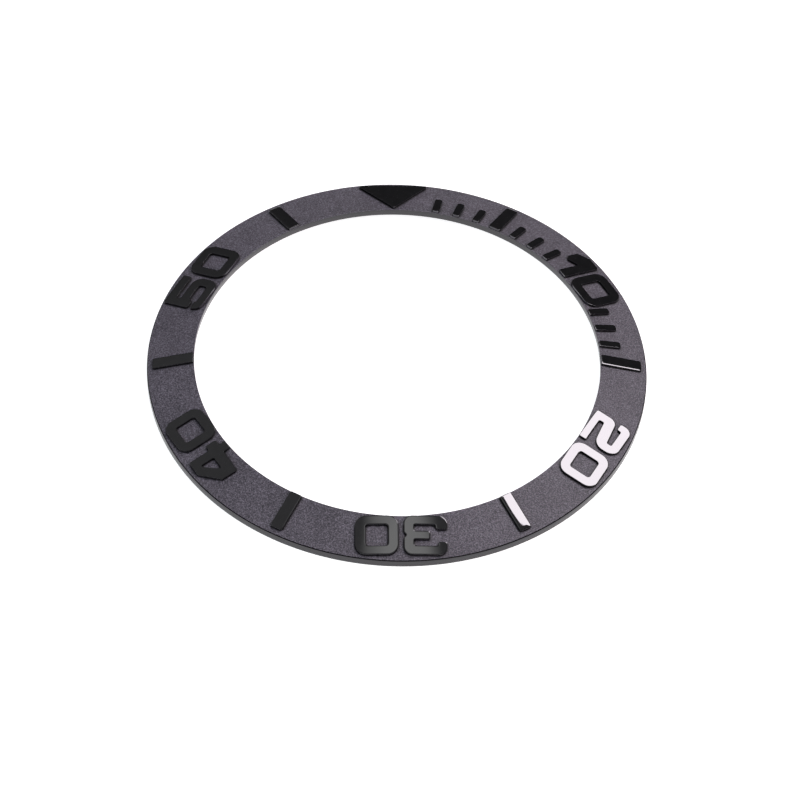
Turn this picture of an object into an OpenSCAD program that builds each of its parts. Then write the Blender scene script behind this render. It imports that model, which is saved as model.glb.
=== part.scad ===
// Dive watch bezel insert with a sloping face.
// A thin conical ring of dark ceramic carries a sixty minute scale: a triangle at the
// zero mark, bars, two-digit numerals and minute ticks. Every marker is a piece of its
// own. Its foot sits in a shallow seat cut in the face, and its polished top stands
// proud of the face and runs parallel to it. Origin: centre of the ring, on the plane
// that its underside rests on. +Z is up, +Y points at the triangle, and the minutes
// run clockwise seen from above. Millimetres.

/* [Ring] */
// Outer diameter, a light push fit in the bezel's groove
outer_d = 38; // [37.4:0.1:40]
// Width of the ring from its outer wall to its bore, seen from above
face_w = 3.57; // [3.5:0.01:4]
// Height of the upright outer wall
outer_wall = 0.66; // [0.5:0.02:1.2]
// Rise of the face from its outer edge to its inner edge
face_rise = 0.95; // [0.4:0.01:1.3]
// Height of the upright inner wall
inner_wall = 0.6; // [0.46:0.02:0.9]
// Width of the flat land under the outer edge, for the adhesive ring
land_w = 0.4; // [0.2:0.05:0.8]
// Radius of the ring's rounded edges
edge_round = 0.07; // [0.03:0.01:0.12]

/* [Marker band] */
// Plain face between the inner edge and the markers
inner_margin = 0.09; // [0.09:0.01:0.3]
// Plain face between the markers and the outer edge
outer_margin = 0.43; // [0.4:0.01:0.6]
// Height of the markers' tops above the face
relief = 0.2; // [0.1:0.02:0.5]
// Depth of the seat that holds each marker's foot
seat_depth = 0.15; // [0.05:0.01:0.25]
// Gap all round between a marker's foot and its seat
seat_gap = 0.01; // [0.005:0.005:0.02]
// Radius of the small corners of every marker
corner_r = 0.12; // [0.06:0.01:0.14]

/* [Triangle, bars and ticks] */
// Width of the triangle at its base, towards the outer edge
triangle_w = 5.5; // [4:0.1:6]
// Width of a five-minute bar
bar_w = 0.96; // [0.6:0.02:1.2]
// Width of a minute tick
tick_w = 0.55; // [0.4:0.01:0.8]
// Length of a minute tick along the radius
tick_l = 1.62; // [1:0.02:2]
// Radius of a tick's outer corners
tick_r = 0.16; // [0.1:0.02:0.2]
// Plain face between the foot of the ten and the tick on each side of it
tick_gap = 0.18; // [0.14:0.02:0.4]

/* [Numerals] */
// Width of the one, with its flag
one_w = 2.05; // [1.7:0.05:2.2]
// Width of the two
two_w = 3; // [2.7:0.05:3.1]
// Width of the three
three_w = 3.2; // [2.9:0.05:3.3]
// Width of the four, with the stub of its crossbar
four_w = 3.25; // [3:0.05:3.3]
// Width of the five
five_w = 3.2; // [2.9:0.05:3.3]
// Gap between the two digits of a number
digit_gap = 0.42; // [0.25:0.01:0.5]
// Thickness of the upright strokes
upright = 0.74; // [0.6:0.02:0.8]
// Thickness of the level strokes
level = 0.68; // [0.55:0.01:0.75]
// Thickness of the middle bar of the three and of the floor of the five
slim = 0.62; // [0.5:0.01:0.7]
// Thickness of the one's stem
one_stem = 0.84; // [0.7:0.02:1]
// Height of the one's flag at its tip
flag_h = 0.84; // [0.6:0.02:0.9]
// Fall of the flag's slanted underside across its blunt end
flag_cut = 0.24; // [0.1:0.02:0.3]
// Thickness of the foot of the two
two_foot = 0.56; // [0.5:0.02:0.7]
// Rise of the two's diagonal from side to side
two_rise = 0.3; // [0.2:0.02:0.36]
// Radius of the zero's outer corners and of the largest curves of the two and the five
bowl_r = 0.82; // [0.5:0.02:0.9]
// Radius of the tighter outer corners of the two, the three and the five
bend_r = 0.62; // [0.4:0.02:0.7]
// Radius of the counters' corners
counter_r = 0.22; // [0.12:0.02:0.28]
// Height of the narrow slots in the two and the five
slot_h = 0.38; // [0.3:0.02:0.45]
// Height of the slot that opens the bowl of the five
mouth_h = 0.24; // [0.18:0.02:0.3]
// Length of the hooks that end the two and the three
hook_l = 0.34; // [0.2:0.02:0.4]
// Width of those hooks
hook_w = 0.64; // [0.5:0.02:0.7]
// Width of the lower hook of the three
low_hook_w = 0.84; // [0.6:0.02:0.9]
// Opening of the three to the left of its middle bar
three_open = 1.28; // [1:0.02:1.4]
// Depth of the notch in the back of the three
notch = 0.22; // [0.1:0.02:0.3]
// Length of the stub past the upright of the four
stub_l = 0.5; // [0.3:0.02:0.6]
// Height of the four's foot under its crossbar
four_foot = 0.53; // [0.4:0.01:0.6]
// Thickness of the four's crossbar
crossbar = 0.82; // [0.7:0.02:0.9]
// Height of the four's left side above its crossbar
cheek = 0.46; // [0.3:0.02:0.6]
// Width of the four's top edge
brow_w = 1.3; // [1:0.05:1.6]

/* [Hidden] */

outer_r = outer_d / 2;
inner_r = outer_r - face_w;
// Height of the face's inner edge, and how far the face falls for each millimetre outwards
crown_z = outer_wall + face_rise;
fall = face_rise / face_w;
// The markers fill one band of the face, measured along the radius
band_in = inner_r + inner_margin;
band_out = outer_r - outer_margin;
band = band_out - band_in;
// Minutes of the scale that carry a bar, and those that carry a tick
BAR_MINUTES = [5, 15, 25, 35, 45, 55];
TICK_MINUTES = [2, 3, 4, 6, 7, 8, 12, 13, 14];
degrees_per_minute = 6;
// The zero takes the room that the one leaves between the ticks two minutes either side
tick_turn = 2 * degrees_per_minute;
ten_half = (band_in * sin(tick_turn) - tick_w / 2 - tick_gap) / cos(tick_turn);
zero_w = 2 * ten_half - one_w - digit_gap;
// The other numbers are set in cells of one width, with the tens digit close to its zero
cell_w = max(two_w, three_w, four_w, five_w);
// How far cutting shapes reach past the ring, and the height of the upright ones
past = 1;
over = crown_z + relief + past;
// Largest turn, in degrees, between two points of a large rounded corner, and of a small one
large_step = 10;
small_step = 30;
ceramic = "#5d5a64";
polished = "#1e1e20";
$fn = 96;

// Outline geometry
function unit(v) = v / norm(v);
function outward(a, b) = let (d = unit(b - a)) [d[1], -d[0]];

// Corner b of a counter-clockwise outline, with both its sides moved outwards
function moved(a, b, c, grow) =
    let (n1 = outward(a, b), n2 = outward(b, c))
    b + grow * (n1 + n2) / (1 + n1 * n2);

// Signed angle by which the outline turns at corner b, positive at an outer corner
function turn(a, b, c) = let (u = unit(b - a), v = unit(c - b)) atan2(cross(u, v), u * v);

// Centre and first point of the arc that rounds corner b with radius r
function arc_start(a, b, c, r) = b - unit(b - a) * r * tan(abs(turn(a, b, c)) / 2);
function arc_centre(a, b, c, r) =
    let (d = unit(b - a), side = sign(turn(a, b, c)))
    arc_start(a, b, c, r) + side * r * [-d[1], d[0]];

// Points of that arc, with no fewer than two sides on the smallest
function arc(a, b, c, r) =
    let (w = turn(a, b, c),
         steps = max(2, ceil(abs(w) / (r > 2 * corner_r ? large_step : small_step))),
         middle = arc_centre(a, b, c, r),
         first = arc_start(a, b, c, r) - middle)
    [for (i = [0:steps])
        let (q = w * i / steps)
        middle + [first[0] * cos(q) - first[1] * sin(q), first[0] * sin(q) + first[1] * cos(q)]];

// A closed outline of [x, y, radius] corners, rounded, and grown or shrunk all round.
// Two arcs that would meet on a short side share it, and each gets a smaller radius
function rounded(corners, grow = 0) =
    let (n = len(corners),
         sharp = [for (c = corners) [c[0], c[1]]],
         out = [for (i = [0:n - 1])
             moved(sharp[(i + n - 1) % n], sharp[i], sharp[(i + 1) % n], grow)],
         turns = [for (i = [0:n - 1]) turn(out[(i + n - 1) % n], out[i], out[(i + 1) % n])],
         radii = [for (i = [0:n - 1]) max(corners[i][2] + sign(turns[i]) * grow, seat_gap)],
         reach = [for (i = [0:n - 1]) radii[i] * tan(abs(turns[i]) / 2)],
         share = [for (i = [0:n - 1]) norm(out[(i + 1) % n] - out[i]) / (reach[i] + reach[(i + 1) % n])])
    [for (i = [0:n - 1])
        let (before = (i + n - 1) % n)
        each arc(out[before], out[i], out[(i + 1) % n], radii[i] * min(1, share[before], share[i]))];

// Corners of a rectangle with one radius
function box_corners(x0, y0, x1, y1, r) = [[x0, y0, r], [x1, y0, r], [x1, y1, r], [x0, y1, r]];

// Digits, each with its left foot at the origin and as tall as the marker band
function one() =
    let (stem = one_w - one_stem, flag_top = band - slim, flag_low = flag_top - flag_h)
    [[stem, 0, corner_r], [one_w, 0, corner_r], [one_w, band, corner_r], [stem - hook_l, band, corner_r],
     [0, flag_top, corner_r], [0, flag_low, corner_r], [hook_l, flag_low - flag_cut, corner_r],
     [stem, flag_low + flag_cut, corner_r]];

function two() =
    let (step = two_foot + slot_h, roof = band - level, rest = roof - slot_h)
    [[0, 0, corner_r], [two_w, 0, corner_r], [two_w, two_foot, corner_r],
     [upright, two_foot, corner_r], [upright, step, corner_r],
     [two_w, step + two_rise, bowl_r], [two_w, band, bowl_r], [0, band, bend_r],
     [0, roof - hook_l, corner_r], [hook_w, roof - hook_l, corner_r], [hook_w, roof, corner_r],
     [two_w - upright, roof, corner_r], [two_w - upright, rest, corner_r],
     [0, rest - two_rise, bend_r]];

function three() =
    let (gap = (band - 2 * level - slim) / 2,
         low = level, sill = level + gap, lintel = sill + slim, roof = lintel + gap,
         inner = three_w - upright, waist = band / 2)
    [[0, 0, bend_r], [three_w, 0, bend_r],
     [three_w, waist - notch, corner_r], [three_w - notch, waist, corner_r],
     [three_w, waist + notch, corner_r], [three_w, band, bend_r], [0, band, bend_r],
     [0, roof - hook_l, corner_r], [hook_w, roof - hook_l, corner_r], [hook_w, roof, corner_r],
     [inner, roof, corner_r], [inner, lintel, corner_r], [three_open, lintel, corner_r],
     [three_open, sill, corner_r], [inner, sill, corner_r], [inner, low, corner_r],
     [low_hook_w, low, corner_r], [low_hook_w, low + hook_l, corner_r], [0, low + hook_l, corner_r]];

function four() =
    let (stem_out = four_w - stub_l, stem_in = stem_out - upright, bar_top = four_foot + crossbar)
    [[0, four_foot, corner_r], [stem_in, four_foot, corner_r], [stem_in, 0, corner_r],
     [stem_out, 0, corner_r], [stem_out, four_foot, corner_r], [four_w, four_foot, corner_r],
     [four_w, bar_top, corner_r], [stem_out, bar_top, corner_r], [stem_out, band, corner_r],
     [stem_out - brow_w, band, corner_r], [0, bar_top + cheek, corner_r]];

// The four's opening rises at 45 degrees
function four_eye() =
    let (stem_in = four_w - stub_l - upright, sill = four_foot + crossbar)
    [[upright, sill, corner_r], [stem_in, sill, corner_r],
     [stem_in, sill + stem_in - upright, corner_r]];

function five() =
    let (roof = band - level, bowl_top = roof - slot_h, eye_top = bowl_top - level,
         inner = five_w - upright, lip = slim + corner_r)
    [[0, 0, bend_r], [five_w, 0, bowl_r], [five_w, bowl_top, bowl_r],
     [upright, bowl_top, corner_r], [upright, roof, corner_r],
     [five_w - corner_r, roof, corner_r], [five_w - corner_r, band, corner_r],
     [0, band, corner_r], [0, lip + mouth_h, corner_r], [upright, lip + mouth_h, corner_r],
     [upright, eye_top, counter_r], [inner, eye_top, counter_r], [inner, slim, counter_r],
     [upright, slim, counter_r], [upright, lip, corner_r], [0, lip, corner_r]];

function zero() = box_corners(0, 0, zero_w, band, bowl_r);
function zero_eye() = box_corners(upright, level, zero_w - upright, band - level, counter_r);

// Outline of one digit, as the printed shape or grown for its seat
module digit_outline(n, grow) {
    if (n == 1) polygon(rounded(one(), grow));
    if (n == 2) polygon(rounded(two(), grow));
    if (n == 3) polygon(rounded(three(), grow));
    if (n == 4) difference() {
        polygon(rounded(four(), grow));
        polygon(rounded(four_eye(), -grow));
    }
    if (n == 5) polygon(rounded(five(), grow));
    if (n == 0) difference() {
        polygon(rounded(zero(), grow));
        polygon(rounded(zero_eye(), -grow));
    }
}

function digit_width(n) = [zero_w, one_w, two_w, three_w, four_w, five_w][n];

// Left edge of a number's zero. The ten is centred by its own width, the others by their cells
function zero_left(tens) = ((tens == 1 ? one_w : cell_w) + digit_gap - zero_w) / 2;
module tens_outline(tens, grow = 0)
    translate([zero_left(tens) - digit_gap - digit_width(tens), band_in]) digit_outline(tens, grow);
module zero_outline(tens, grow = 0)
    translate([zero_left(tens), band_in]) digit_outline(0, grow);

module bar_outline(grow = 0)
    polygon(rounded(box_corners(-bar_w / 2, band_in, bar_w / 2, band_out, corner_r), grow));

module tick_outline(grow = 0)
    polygon(rounded([[-tick_w / 2, band_in, corner_r], [tick_w / 2, band_in, corner_r],
                     [tick_w / 2, band_in + tick_l, tick_r],
                     [-tick_w / 2, band_in + tick_l, tick_r]], grow));

module triangle_outline(grow = 0)
    polygon(rounded([[0, band_in, corner_r], [triangle_w / 2, band_out, corner_r],
                     [-triangle_w / 2, band_out, corner_r]], grow));

// Turns an outline to its minute and raises it to a prism
module at_minute(minute)
    rotate([0, 0, -degrees_per_minute * minute]) linear_extrude(over) children();

// Conical layer of the face, between two heights measured from the face itself
module face_layer(low, high) {
    r0 = inner_r - past;
    r1 = outer_r + past;
    z0 = crown_z + fall * past;
    z1 = outer_wall - fall * past;
    rotate_extrude() polygon([[r0, z0 + low], [r1, z1 + low], [r1, z1 + high], [r0, z0 + high]]);
}

// A marker: its outline cut to the layer from the floor of its seat to its top
module marker(minute)
    color(polished) intersection() {
        at_minute(minute) children();
        face_layer(-seat_depth, relief);
    }

// Section of the bare ring, with an arc on every edge but the land's inner one
module ring_section() {
    corners = [[outer_r - land_w, 0], [outer_r, 0], [outer_r, outer_wall],
               [inner_r, crown_z], [inner_r, crown_z - inner_wall]];
    n = len(corners);
    polygon([for (i = [0:n - 1])
        let (a = corners[(i + n - 1) % n], b = corners[i], c = corners[(i + 1) % n])
        each i == 0 ? [b] : [arc_start(a, b, c, edge_round), arc_start(c, b, a, edge_round)]]);
    for (i = [1:n - 1])
        translate(arc_centre(corners[i - 1], corners[i], corners[(i + 1) % n], edge_round))
            circle(edge_round);
}

// Every seat in the face, as one set of prisms
module seats() {
    at_minute(0) triangle_outline(seat_gap);
    for (m = BAR_MINUTES) at_minute(m) bar_outline(seat_gap);
    for (m = TICK_MINUTES) at_minute(m) tick_outline(seat_gap);
    for (tens = [1:5]) at_minute(10 * tens) {
        tens_outline(tens, seat_gap);
        zero_outline(tens, seat_gap);
    }
}

module ring()
    color(ceramic) difference() {
        rotate_extrude() ring_section();
        intersection() {
            seats();
            face_layer(-seat_depth, relief);
        }
    }

module triangle_marker() marker(0) triangle_outline();
module bar(minute) marker(minute) bar_outline();
module tick(minute) marker(minute) tick_outline();
module tens_digit(tens) marker(10 * tens) tens_outline(tens);
module zero_digit(tens) marker(10 * tens) zero_outline(tens);

ring();
triangle_marker();
bar(5);  // bar_05
bar(15);  // bar_15
bar(25);  // bar_25
bar(35);  // bar_35
bar(45);  // bar_45
bar(55);  // bar_55
tick(2);  // tick_02
tick(3);  // tick_03
tick(4);  // tick_04
tick(6);  // tick_06
tick(7);  // tick_07
tick(8);  // tick_08
tick(12);  // tick_12
tick(13);  // tick_13
tick(14);  // tick_14
tens_digit(1);  // digit_10_one
zero_digit(1);  // digit_10_zero
tens_digit(2);  // digit_20_two
zero_digit(2);  // digit_20_zero
tens_digit(3);  // digit_30_three
zero_digit(3);  // digit_30_zero
tens_digit(4);  // digit_40_four
zero_digit(4);  // digit_40_zero
tens_digit(5);  // digit_50_five
zero_digit(5);  // digit_50_zero
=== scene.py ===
"""Dive watch bezel insert, dressed: a blasted ceramic ring with polished markers, on a white table.

Lengths are metres in the frame of the solid model: +Z up, +Y towards the triangle.
"""
import math

import bmesh
import bpy
from mathutils import Matrix, Vector


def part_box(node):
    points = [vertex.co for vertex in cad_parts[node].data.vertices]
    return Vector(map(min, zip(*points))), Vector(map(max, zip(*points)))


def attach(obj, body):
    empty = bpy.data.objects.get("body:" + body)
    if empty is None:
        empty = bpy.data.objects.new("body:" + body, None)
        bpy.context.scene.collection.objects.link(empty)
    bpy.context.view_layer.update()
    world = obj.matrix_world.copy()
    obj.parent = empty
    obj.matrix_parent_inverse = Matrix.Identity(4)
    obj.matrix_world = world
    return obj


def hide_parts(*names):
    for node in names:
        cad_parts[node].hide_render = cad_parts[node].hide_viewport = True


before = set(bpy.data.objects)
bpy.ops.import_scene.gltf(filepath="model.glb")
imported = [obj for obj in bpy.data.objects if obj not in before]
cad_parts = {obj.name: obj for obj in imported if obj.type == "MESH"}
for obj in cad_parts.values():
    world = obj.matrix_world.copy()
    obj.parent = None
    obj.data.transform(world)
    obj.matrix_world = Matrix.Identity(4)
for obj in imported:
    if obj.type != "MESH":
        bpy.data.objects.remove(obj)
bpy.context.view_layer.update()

# Sizes of the solid model. The dressed ring is a hair smaller, so that it stays inside it
MM = 0.001
HAIR = 0.0005 * MM
OUTER_R = min(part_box("ring")[1].xy) - HAIR
FACE_W = 3.57 * MM
INNER_R = OUTER_R - FACE_W
OUTER_WALL = 0.66 * MM
FACE_RISE = 0.95 * MM
INNER_WALL = 0.6 * MM
LAND_W = 0.4 * MM
FALL = FACE_RISE / (OUTER_R - INNER_R)
CROWN_Z = OUTER_WALL + FACE_RISE
# The markers: how far they stand proud, where they start beside the bore, and their rounded corners
RELIEF = 0.2 * MM
INNER_MARGIN = 0.09 * MM
BAND_IN = INNER_R + INNER_MARGIN
CORNER_R = 0.12 * MM
DEGREES_PER_MINUTE = 6

# Sizes of the finish
RING_STEPS = 360
ROUND_STEPS = 4
OUTER_EDGE = 0.06 * MM
INNER_EDGE = 0.03 * MM
# A lap rolls the edges of a marker's top over before the sharp corner: width, and slope at the end
BAR_ROLL = (0.09 * MM, math.tan(math.radians(17)))
TICK_ROLL = (0.06 * MM, math.tan(math.radians(5)))
FINE_ROLL = (0.07 * MM, math.tan(math.radians(9.5)))
# It also domes a bar: the width along its sides and outer end that bends, and slope at the end
DOME = (0.3 * MM, math.tan(math.radians(2)))
# Height of the sharp corner between a top and its wall
CORNER = 0.01 * MM
# Share of a rounding's height under which a point belongs to the wall
ROLL_START = 0.2
# Markers are divided by planes this far apart, so that they can bend. Bars bend most
GRID = 0.35 * MM
BAR_GRID = 0.06 * MM
# An end that faces the bore is ground with a draft, so its foot stands closer to the face's edge
FOOT_REACH = 0.07 * MM

# Points closer than this are one, and a plane closer than this to a point cuts through it
WELD = 0.002 * MM
CUT = WELD / 4
# Facets of a solid that turn by less than this are one face
ONE_FACE = math.radians(2)
# A face is a wall where the upright part of its normal is less than this, and faces the bore
# where the part of it towards the bore is more
RING_WALL = 0.1
MARKER_WALL = 0.5
FACES_BORE = 0.8
# A direction shorter than this is none
NO_LENGTH = 1e-6

# Sizes of the patterns. The grit leaves pits of 0.05 mm, drawn at 0.1 mm so that they show
GRAIN = 0.1 * MM
PIT_DEPTH = 0.03 * MM
CLOUD = 3 * MM
# Reach of the painted shade in the corner round each marker
CORNER_SHADE_REACH = 0.2 * MM
HAZE = 0.5 * MM
WAVE = 2.5 * MM
WAVE_DEPTH = 0.02 * MM
STREAK = 0.3 * MM
NICK = 0.2 * MM
# Most of a noise lies between these: for its dark and pale colours, and for its roughness
LOW, HIGH = 0.35, 0.65
NOISE = {"From Min": 0.3, "From Max": 0.7}
# What a white card lacks to be paper white under the lamps
CARD_LIFT = 0.82

# Places of the materials on the ring and on a marker
# The third place on the ring holds the painted shade line of its outer edges
MATT, GROUND, SHADE_LINE = range(3)
# The second place on a marker holds the painted paler finish of its end towards the bore
GLOSS, PAINTED_PALE_END = range(2)


def colour(text):
    """An sRGB hex colour as linear red, green, blue and alpha."""
    parts = [int(text[i:i + 2], 16) / 255 for i in (1, 3, 5)]
    return [c / 12.92 if c <= 0.04045 else ((c + 0.055) / 1.055) ** 2.4 for c in parts] + [1.0]


def add(tree, kind, inputs=None, stops=(), **settings):
    """Adds a node and sets its properties, its inputs or their links, and the stops of a ramp."""
    made = tree.nodes.new(kind)
    for name, value in settings.items():
        setattr(made, name, value)
    for name, value in (inputs or {}).items():
        if isinstance(value, bpy.types.NodeSocket):
            tree.links.new(value, made.inputs[name])
        else:
            made.inputs[name].default_value = value
    for i, (place, shade) in enumerate(stops):
        points = made.color_ramp.elements
        point = points[i] if i < len(points) else points.new(place)
        point.position, point.color = place, colour(shade)
    return made


def blank(name):
    """A material, and its node tree with nothing in it."""
    made = bpy.data.materials.new(name)
    made.use_nodes = True
    made.node_tree.nodes.clear()
    return made, made.node_tree


# Materials. Polished zirconia has its real index of 2.1, and the rough finishes look like less
def blasted_ceramic():
    """Zirconia, fired and blasted: a matt dark grey with a violet cast and a fine dry grain."""
    made, tree = blank("blasted_zirconia")
    place = add(tree, "ShaderNodeTexCoord").outputs["Object"]
    grain = add(tree, "ShaderNodeTexNoise", {"Vector": place, "Scale": 1 / GRAIN, "Detail": 2.0,
                                             "Roughness": 0.6}).outputs["Fac"]
    # The blasting nozzle's passes leave soft clouds a few millimetres wide
    cloud = add(tree, "ShaderNodeTexNoise", {"Vector": place, "Scale": 1 / CLOUD,
                                             "Detail": 2.0}).outputs["Fac"]
    mixed = add(tree, "ShaderNodeMix", {"Factor": 0.1, "A": grain, "B": cloud},
                data_type="FLOAT").outputs["Result"]
    tone = add(tree, "ShaderNodeValToRGB", {"Fac": mixed},
               stops=[(0.36, "#232128"), (0.5, "#4a474f"), (0.64, "#736e79")]).outputs["Color"]
    # Painted shade: the face is darkened towards near black in the corner round each marker, where
    # a point sees less open sky
    sky_seen = add(tree, "ShaderNodeAmbientOcclusion", {"Distance": CORNER_SHADE_REACH},
                   samples=8).outputs["AO"]
    unshaded = add(tree, "ShaderNodeMapRange", {"Value": sky_seen, "From Min": 0.62,
                                               "From Max": 0.87}).outputs["Result"]
    tone = add(tree, "ShaderNodeMix", {"Factor": unshaded, "A": colour("#0c0b0e"), "B": tone},
               data_type="RGBA").outputs["Result"]
    rough = add(tree, "ShaderNodeMapRange", {"Value": grain, **NOISE, "To Min": 0.5,
                                             "To Max": 0.66}).outputs["Result"]
    bump = add(tree, "ShaderNodeBump", {"Height": grain, "Strength": 0.6,
                                        "Distance": PIT_DEPTH}).outputs["Normal"]
    shader = add(tree, "ShaderNodeBsdfPrincipled", {"Base Color": tone, "Roughness": rough,
                                                    "Normal": bump, "IOR": 1.7})
    add(tree, "ShaderNodeOutputMaterial", {"Surface": shader.outputs["BSDF"]})
    return made


def polished_ceramic():
    """Zirconia lapped to a mirror: near black, with sharp highlights and a faint polishing haze."""
    made, tree = blank("polished_zirconia")
    place = add(tree, "ShaderNodeTexCoord").outputs["Object"]
    haze = add(tree, "ShaderNodeTexNoise", {"Vector": place, "Scale": 1 / HAZE,
                                            "Detail": 4.0}).outputs["Fac"]
    tone = add(tree, "ShaderNodeValToRGB", {"Fac": haze},
               stops=[(LOW, "#0a0a0b"), (HIGH, "#111112")]).outputs["Color"]
    rough = add(tree, "ShaderNodeMapRange", {"Value": haze, **NOISE, "To Min": 0.015,
                                             "To Max": 0.035}).outputs["Result"]
    # The lap leaves the surface very slightly wavy
    wave = add(tree, "ShaderNodeTexNoise", {"Vector": place, "Scale": 1 / WAVE,
                                            "Detail": 0.0}).outputs["Fac"]
    bump = add(tree, "ShaderNodeBump", {"Height": wave, "Strength": 1.0,
                                        "Distance": WAVE_DEPTH}).outputs["Normal"]
    shader = add(tree, "ShaderNodeBsdfPrincipled", {"Base Color": tone, "Roughness": rough,
                                                    "Normal": bump, "IOR": 2.1})
    add(tree, "ShaderNodeOutputMaterial", {"Surface": shader.outputs["BSDF"]})
    return made


def ground_ceramic(name, dark, pale):
    """Zirconia as a fine wheel leaves it: satin, and brighter at a glancing look."""
    made, tree = blank(name)
    place = add(tree, "ShaderNodeTexCoord").outputs["Object"]
    streak = add(tree, "ShaderNodeTexNoise", {"Vector": place, "Scale": 1 / STREAK,
                                              "Detail": 3.0}).outputs["Fac"]
    tone = add(tree, "ShaderNodeValToRGB", {"Fac": streak},
               stops=[(LOW, dark), (HIGH, pale)]).outputs["Color"]
    rough = add(tree, "ShaderNodeMapRange", {"Value": streak, **NOISE, "To Min": 0.16,
                                             "To Max": 0.26}).outputs["Result"]
    shader = add(tree, "ShaderNodeBsdfPrincipled", {"Base Color": tone, "Roughness": rough,
                                                    "IOR": 1.52})
    add(tree, "ShaderNodeOutputMaterial", {"Surface": shader.outputs["BSDF"]})
    return made


def painted_shade_edge():
    """Painted shade: near-black zirconia for the ring's outer rounded edges, so that they show a
    dark line; a fine noise of small nicks varies the black.
    """
    made, tree = blank("painted_shade_edge_zirconia")
    place = add(tree, "ShaderNodeTexCoord").outputs["Object"]
    nick = add(tree, "ShaderNodeTexNoise", {"Vector": place, "Scale": 1 / NICK,
                                            "Detail": 2.0}).outputs["Fac"]
    tone = add(tree, "ShaderNodeValToRGB", {"Fac": nick},
               stops=[(LOW, "#08080a"), (HIGH, "#141417")]).outputs["Color"]
    shader = add(tree, "ShaderNodeBsdfPrincipled", {"Base Color": tone, "Roughness": 0.7,
                                                    "IOR": 1.2})
    add(tree, "ShaderNodeOutputMaterial", {"Surface": shader.outputs["BSDF"]})
    return made


def table_white():
    """Matt white card: lit by the lamps, and lifted to paper white where it is seen or mirrored."""
    made, tree = blank("white_card")
    path = add(tree, "ShaderNodeLightPath").outputs
    seen = path["Is Camera Ray"]
    for other in ("Is Glossy Ray", "Is Transmission Ray"):
        seen = add(tree, "ShaderNodeMath", {0: seen, 1: path[other]},
                   operation="MAXIMUM").outputs["Value"]
    lift = add(tree, "ShaderNodeMath", {0: seen, 1: CARD_LIFT},
               operation="MULTIPLY").outputs["Value"]
    shader = add(tree, "ShaderNodeBsdfPrincipled",
                 {"Base Color": colour("#e8e8e8"), "Roughness": 0.9,
                  "Emission Color": colour("#ffffff"), "Emission Strength": lift})
    add(tree, "ShaderNodeOutputMaterial", {"Surface": shader.outputs["BSDF"]})
    return made


# Shapes
def mesh_object(name, bm, materials):
    """Makes a smooth mesh object of a bmesh, and frees the bmesh."""
    mesh = bpy.data.meshes.new(name)
    bm.to_mesh(mesh)
    bm.free()
    for m in materials:
        mesh.materials.append(m)
    mesh.shade_smooth()
    made = bpy.data.objects.new(name, mesh)
    bpy.context.scene.collection.objects.link(made)
    return made


def round_edges(bm, edges, size):
    """Rounds edges, and gives the faces that this makes."""
    return bmesh.ops.bevel(bm, geom=edges, offset=size, offset_type="OFFSET",
                           segments=ROUND_STEPS, profile=0.5, affect="EDGES", material=-1,
                           clamp_overlap=False)["faces"]


def make_ring(matt, ground, shade_line):
    """The bare ring: its section turned once round the axis, with its outer and inner edges
    rounded."""
    bm = bmesh.new()
    section = [(OUTER_R - LAND_W, 0), (OUTER_R, 0), (OUTER_R, OUTER_WALL), (INNER_R, CROWN_Z),
               (INNER_R, CROWN_Z - INNER_WALL)]
    corners = [bm.verts.new((r, 0, z)) for r, z in section]
    edges = [bm.edges.new((a, b)) for a, b in zip(corners, corners[1:] + corners[:1])]
    bmesh.ops.spin(bm, geom=corners + edges, cent=(0, 0, 0), axis=(0, 0, 1), angle=2 * math.pi,
                   steps=RING_STEPS, use_merge=True)
    bmesh.ops.remove_doubles(bm, verts=bm.verts[:], dist=WELD)
    bm.normal_update()
    for f in bm.faces:
        f.material_index = GROUND if abs(f.normal.z) < RING_WALL else MATT
    # The outer edges take the near-black painted shade line, the inner ones the matt finish of the
    # face
    for radius, size, material in ((OUTER_R, OUTER_EDGE, SHADE_LINE), (INNER_R, INNER_EDGE, MATT)):
        for f in round_edges(bm, rims(bm, radius), size):
            f.material_index = material
    bmesh.ops.recalc_face_normals(bm, faces=bm.faces[:])
    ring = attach(mesh_object("ring_body", bm, [matt, ground, shade_line]), "root")
    # Large faces set the shading beside a rounded edge, so that they look flat
    ring.modifiers.new("even_shading", "WEIGHTED_NORMAL").weight = 100
    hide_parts("ring")
    return ring


def rims(bm, radius):
    """The level edges that run round the ring at one radius."""
    return [e for e in bm.edges if abs(e.verts[0].co.z - e.verts[1].co.z) < WELD
            and all(abs(v.co.xy.length - radius) < WELD for v in e.verts)]


def face_z(co):
    """Height of the ring's sloping face under or over a point."""
    return CROWN_Z - FALL * (co.xy.length - INNER_R)


def outwards(node):
    """Direction from the axis to the middle of a node's minute mark. The triangle's is 0."""
    minutes = [int(part) for part in node.split("_") if part.isdigit()]
    turn = math.radians(DEGREES_PER_MINUTE * (minutes[0] if minutes else 0))
    return Vector((math.sin(turn), math.cos(turn), 0))


def make_marker(node, gloss, painted_pale_ends, roll):
    """A marker with the edges of its top rolled over, domed too where it is a bar. It is cut from
    the solid's own outline: laid flat, rolled, divided so that it can bend, and laid back on the
    slope of the face."""
    domed = node.startswith("bar")
    away = outwards(node)
    across = Vector((away.y, -away.x, 0))
    bm = laid_flat(node)
    for v in bm.verts:
        if v.co.z < 0:
            v.co -= away * FOOT_REACH * max(0, 1 - (v.co.dot(away) - BAND_IN) / CORNER_R)
    round_edges(bm, [e for e in bm.edges if on_rim(e)], roll[0])
    for axis in (away, across):
        divide(bm, axis, BAR_GRID if domed else GRID)
    normals = bend(bm, away, across, roll, domed)
    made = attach(mesh_object(node + "_polished", bm, [gloss, painted_pale_ends]), "root")
    made.data.normals_split_custom_set_from_vertices(normals)
    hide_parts(node)
    return made


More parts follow.
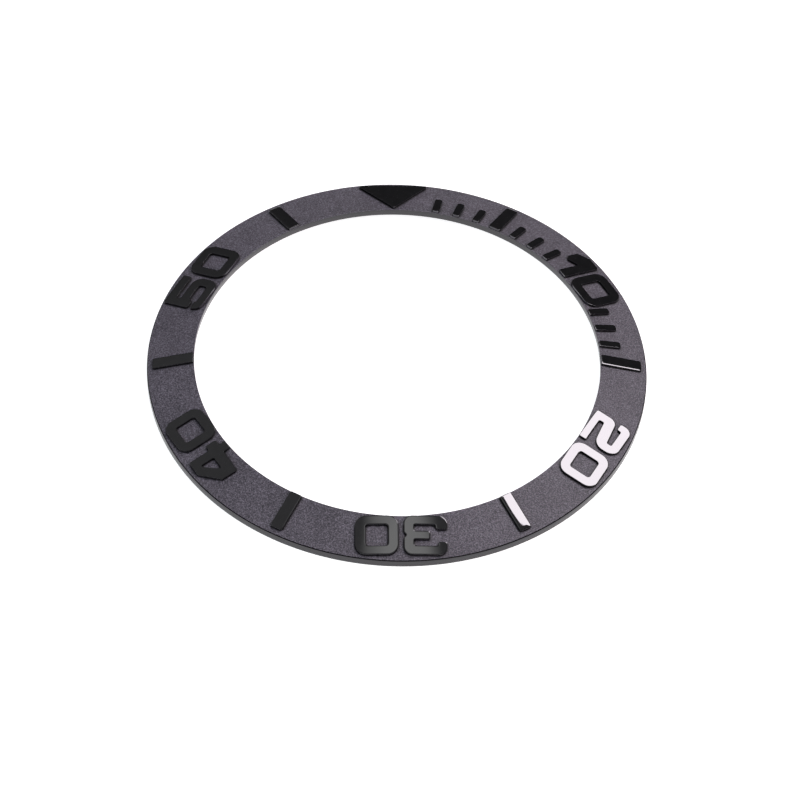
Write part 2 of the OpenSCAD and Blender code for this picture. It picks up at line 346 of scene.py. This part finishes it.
def laid_flat(node):
    """A copy of a marker's solid, with its facets joined and the face of the ring at height 0."""
    bm = bmesh.new()
    bm.from_mesh(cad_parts[node].data)
    bmesh.ops.remove_doubles(bm, verts=bm.verts[:], dist=WELD)
    for v in bm.verts:
        v.co.z -= face_z(v.co)
    bmesh.ops.dissolve_limit(bm, angle_limit=ONE_FACE, verts=bm.verts[:], edges=bm.edges[:])
    return bm


def on_rim(edge):
    """True where a laid-flat marker's top meets its walls."""
    level = all(abs(v.co.z - RELIEF) < WELD for v in edge.verts)
    return level and any(abs(f.normal.z) < MARKER_WALL for f in edge.link_faces)


def divide(bm, axis, step):
    """Cuts a marker's faces by planes across an axis, one step apart."""
    low, high = (pick(v.co.dot(axis) for v in bm.verts) for pick in (min, max))
    for i in range(1, math.ceil((high - low) / step)):
        bmesh.ops.bisect_plane(bm, geom=bm.verts[:] + bm.edges[:] + bm.faces[:], dist=CUT,
                               plane_co=axis * (low + i * step), plane_no=axis)


def bend(bm, away, across, roll, domed):
    """Bends a laid-flat marker's top over its rounded edges, lays the marker back on the slope,
    marks its end towards the bore, and gives a normal for each point."""
    width, slope = roll
    dome_width, dome_slope = DOME
    # The walls end under the lowest point of the top's edge
    wall_top = RELIEF - slope * width / 2 - (dome_width * dome_slope if domed else 0) - CORNER
    outer_end, half_width = (max(v.co.dot(axis) for v in bm.verts) for axis in (away, across))
    bm.normal_update()
    # How far up its rounding a point is: 0 on the wall, 1 on the flat of the top
    arcs = {v: min(1, max(0, (v.co.z - RELIEF + width) / width)) for v in bm.verts}
    # Faces of the end towards the bore take the painted paler copy of the ground finish
    for f in bm.faces:
        wall = all(arcs[v] <= ROLL_START for v in f.verts)
        inner = f.calc_center_median().dot(away) < BAND_IN + CORNER_R
        f.material_index = PAINTED_PALE_END if wall and inner and f.normal.dot(away) < -FACES_BORE else GLOSS
    normals = []
    for v in bm.verts:
        side = Vector((v.normal.x, v.normal.y, 0))
        side = side.normalized() if side.length > NO_LENGTH else Vector()
        if arcs[v] > ROLL_START:
            near = math.sqrt(1 - arcs[v] * arcs[v])
            lean, drop = dome(v.co, away, across, outer_end, half_width) if domed else (Vector(), 0)
            up = Vector((v.co.x, v.co.y, 0)).normalized() * FALL + Vector((0, 0, 1))
            normals.append((up.normalized() + side * slope * near + lean).normalized())
            v.co.z = RELIEF - slope * width / 2 * near * near - drop
        else:
            normals.append(next((f.normal.copy() for f in v.link_faces
                                 if f.material_index == PAINTED_PALE_END), side))
            if v.co.z > 0:
                v.co.z = wall_top
        v.co.z += face_z(v.co)
    return normals


def dome(co, away, across, outer_end, half_width):
    """How a bar's domed top leans at a point, as a sideways vector, and how far it drops there."""
    width, slope = DOME
    offset = co.dot(across)
    aside = max(0, 1 - (half_width - abs(offset)) / width)
    out = max(0, 1 - (outer_end - co.dot(away)) / width)
    lean = (across * math.copysign(aside, offset) + away * out) * slope
    return lean, slope * width / 2 * (aside ** 2 + out ** 2)


gloss = polished_ceramic()
# The walls are satin black. The markers' ends towards the bore take a paler copy of the same ground
# finish: painted light, so that they look lit
painted_pale_ends = ground_ceramic("ground_zirconia_painted_pale_end", "#36343b", "#45424b")
make_ring(blasted_ceramic(), ground_ceramic("ground_zirconia", "#151318", "#201e25"), painted_shade_edge())
for node in sorted(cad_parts):
    if node != "ring":
        roll = {"bar": BAR_ROLL, "tick": TICK_ROLL}.get(node.split("_")[0], FINE_ROLL)
        make_marker(node, gloss, painted_pale_ends, roll)

# Table: half its width in metres
TABLE_REACH = 4
card = bmesh.new()
bmesh.ops.create_grid(card, x_segments=1, y_segments=1, size=TABLE_REACH)
mesh_object("table", card, [table_white()])

# Camera: where it stands and how it is rolled, in degrees and metres, where the ring's centre
# falls in the square image, the sensor's width in millimetres, and where sight begins
IMAGE = 800
CAMERA_TURN = -2.98
CAMERA_HEIGHT = 48.9
CAMERA_DISTANCE = 438.2 * MM
CAMERA_ROLL = 2.57
PIXELS_PER_METRE = 13.14 / MM
CENTRE_X = 396.8
CENTRE_Y = 373.1
SENSOR = 36
NEAREST = 0.01

# Lamps: the height of those at the sides in degrees, and places, widths and lengths in metres
SIDE_HEIGHT = 35
SIDE_DISTANCE = 0.9
SIDE_PANEL = (0.7, 0.6)
CEILING_PLACE = (0.282, 0.3288, 0.6)
CEILING_PANEL = (0.324, 0.3744)


def place_camera():
    """Aims the camera so that the ring's centre falls on its pixel, with no shift."""
    turn, height, roll = (math.radians(a) for a in (CAMERA_TURN, CAMERA_HEIGHT, CAMERA_ROLL))
    back = Matrix.Rotation(turn, 3, "Z") @ Vector((0, -math.cos(height), math.sin(height)))
    right = Matrix.Rotation(turn, 3, "Z") @ Vector((1, 0, 0))
    up = back.cross(right)
    right, up = (right * math.cos(roll) + up * math.sin(roll),
                 up * math.cos(roll) - right * math.sin(roll))
    spot = back * CAMERA_DISTANCE
    aim = (right * (IMAGE / 2 - CENTRE_X) + up * (CENTRE_Y - IMAGE / 2)) / PIXELS_PER_METRE
    back = (spot - aim).normalized()
    up = back.cross(right).normalized()
    right = up.cross(back)
    data = bpy.data.cameras.new("camera")
    data.sensor_width = SENSOR
    data.lens = SENSOR * PIXELS_PER_METRE * CAMERA_DISTANCE / IMAGE
    data.clip_start = NEAREST
    made = bpy.data.objects.new("camera", data)
    made.matrix_world = Matrix((right, up, back)).transposed().to_4x4()
    made.location = spot
    bpy.context.scene.collection.objects.link(made)
    bpy.context.scene.camera = made


def panel(name, place, turn, size, brightness, tint, mirrored):
    """A lit panel that faces back along its +Z. A brightness of 1 is a fully lit white card's."""
    data = bpy.data.lights.new(name, "AREA")
    data.shape = "RECTANGLE"
    data.size, data.size_y = size
    data.energy = brightness * math.pi * size[0] * size[1]
    data.color = colour(tint)[:3]
    made = bpy.data.objects.new(name, data)
    made.rotation_euler = turn
    made.location = place
    made.visible_glossy = mirrored
    bpy.context.scene.collection.objects.link(made)


def side_panel(name, azimuth, brightness, tint):
    """A panel beside the ring, aimed at it and not mirrored. Azimuth runs clockwise from +Y."""
    a, h = math.radians(azimuth), math.radians(SIDE_HEIGHT)
    way = Vector((math.sin(a) * math.cos(h), math.cos(a) * math.cos(h), math.sin(h)))
    turn = way.to_track_quat("Z", "Y").to_euler()
    panel(name, way * SIDE_DISTANCE, turn, SIDE_PANEL, brightness, tint, mirrored=False)


def glow(tree, way, aim, wide, tight, shade, lit):
    """A soft round patch of light in one direction: a shade at the wide angle and outside it, and
    the lit colour inside the tight one."""
    along = add(tree, "ShaderNodeVectorMath", {0: way, 1: Vector(aim).normalized()},
                operation="DOT_PRODUCT").outputs["Value"]
    share = add(tree, "ShaderNodeMapRange", {"Value": along,
                                             "From Min": math.cos(math.radians(wide)),
                                             "From Max": math.cos(math.radians(tight))},
                interpolation_type="SMOOTHSTEP").outputs["Result"]
    return add(tree, "ShaderNodeValToRGB", {"Fac": share},
               stops=[(0.0, shade), (1.0, lit)]).outputs["Color"]


def room():
    """A dim studio: a small pale glow overhead, and a broad faint one towards the back left."""
    world = bpy.data.worlds.new("studio")
    world.use_nodes = True
    tree = world.node_tree
    tree.nodes.clear()
    way = add(tree, "ShaderNodeTexCoord").outputs["Generated"]
    broad = glow(tree, way, (-0.35, 0.35, 1), wide=55, tight=8, shade="#39393b", lit="#757577")
    small = glow(tree, way, (0.035, 0.15, 0.99), wide=5.5, tight=0.3, shade="#000000",
                 lit="#f4f4f4")
    both = add(tree, "ShaderNodeMix", {"Factor": 1.0, "A": broad, "B": small}, data_type="RGBA",
               blend_type="ADD").outputs["Result"]
    back = add(tree, "ShaderNodeBackground", {"Color": both, "Strength": 1.0})
    add(tree, "ShaderNodeOutputWorld", {"Surface": back.outputs["Background"]})
    bpy.context.scene.world = world


place_camera()
# A panel under the ceiling, which the number twenty mirrors, softer ones at the sides, and a faint
# one in front
panel("ceiling", CEILING_PLACE, turn=(0, 0, 0), size=CEILING_PANEL, brightness=6.9,
      tint="#fff7fe", mirrored=True)
side_panel("right", azimuth=105, brightness=3.9, tint="#fff2f3")
side_panel("left", azimuth=-105, brightness=2.4, tint="#e8f4ff")
side_panel("front", azimuth=-165, brightness=1.1, tint="#ffffff")
room()
bpy.context.scene.view_settings.view_transform = "Standard"
